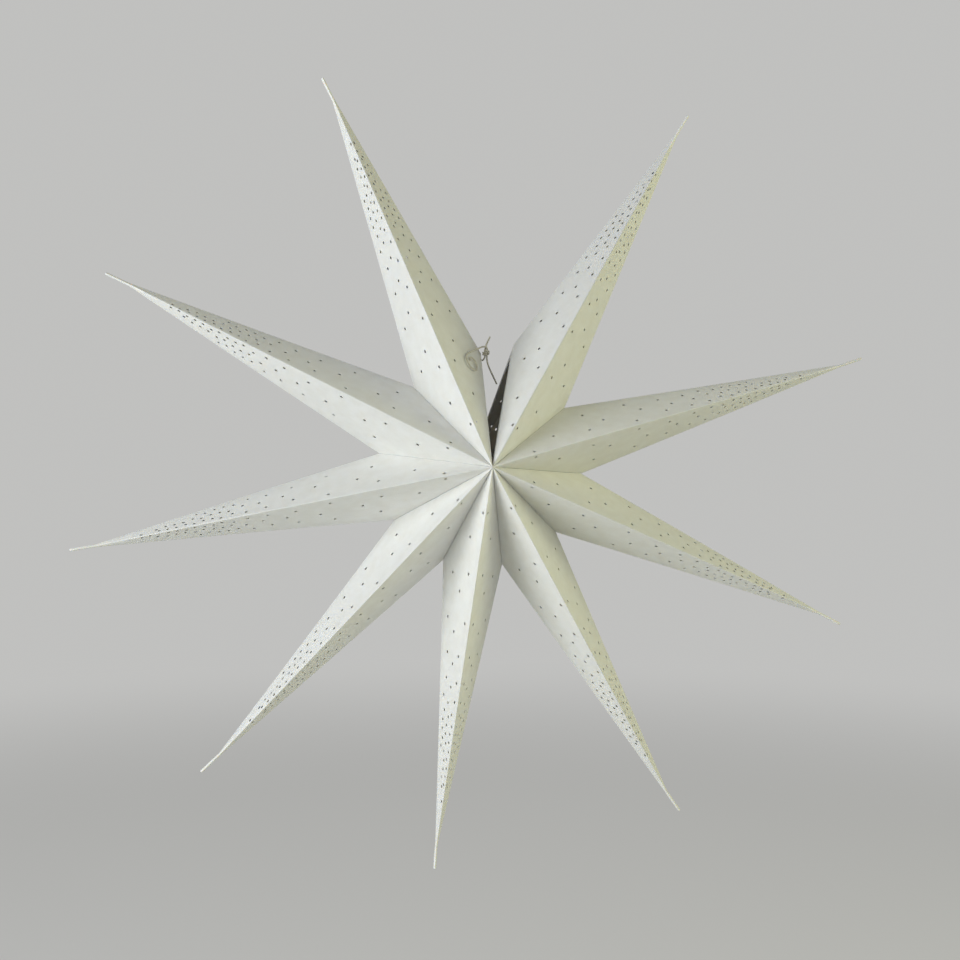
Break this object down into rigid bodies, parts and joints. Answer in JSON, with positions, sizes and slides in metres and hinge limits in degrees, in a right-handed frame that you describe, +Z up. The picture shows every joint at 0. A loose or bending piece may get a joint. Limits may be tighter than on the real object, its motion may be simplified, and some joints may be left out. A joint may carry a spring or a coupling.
{
  "type": "paper advent star",
  "caption": "Folded paper star of hollow punched points glued round an open hub, with a tied slit at the top where it hangs.",
  "frame": {"origin": "the notch of the left end point at the top of the open slit, where the star hangs", "axes": "front of the star along -Y, +X to the right seen from the front, +Z up"},
  "size_m": [0.9735, 0.24, 0.9601],
  "materials": {
    "card": "matte uncoated white card",
    "string": "twisted white cotton string"
  },
  "bodies": {
    "root": {"point_1": "card", "point_2": "card", "point_3": "card", "point_4": "card", "point_5": "card", "point_6": "card", "point_7": "card", "point_8": "card", "point_9": "card", "tie_string": "string", "tie_tail": "string", "tie_curl": "string", "tie_knot": "string", "stop_knot": "string"}
  },
  "joints": []
}
